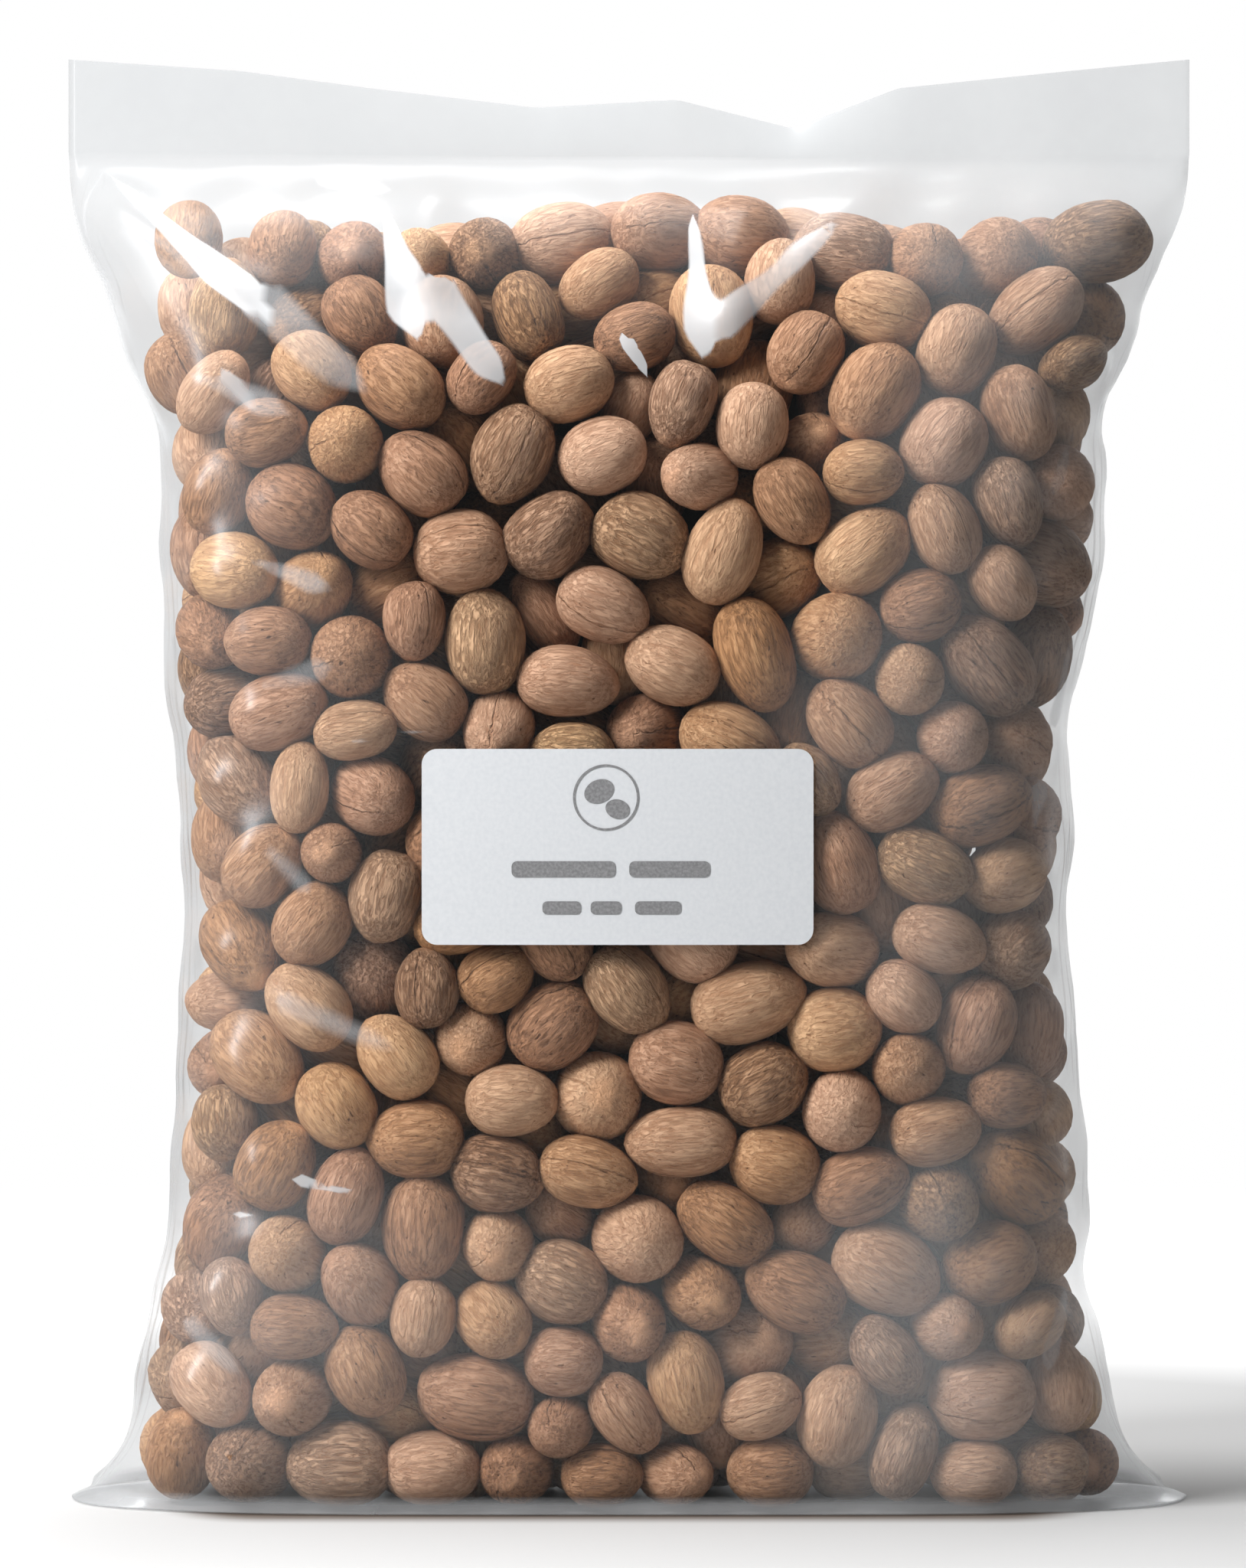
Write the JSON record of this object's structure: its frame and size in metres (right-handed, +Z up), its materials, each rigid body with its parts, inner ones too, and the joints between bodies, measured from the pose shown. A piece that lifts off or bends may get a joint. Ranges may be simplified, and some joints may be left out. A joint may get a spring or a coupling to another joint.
{
  "type": "sealed clear bag of whole nutmegs",
  "caption": "Clear sealed film bag packed full of whole nutmegs, standing on its flat base, with a flat wavy sealed top and a plain white label on the front.",
  "frame": {"origin": "on the surface the bag stands on, under the middle of the whole pack", "axes": "+Z up the bag to its sealed top, +X along its width, the labelled front faces -Y"},
  "size_m": [0.2994, 0.0914, 0.384],
  "materials": {
    "film": "clear and glossy, a little milky at the sealed top and the folds",
    "nutmeg": "dry, matt, finely furrowed",
    "label": "smooth white paper with grey print shapes"
  },
  "bodies": {
    "root": {"bag": "film", "label": "label"}
  },
  "joints": []
}
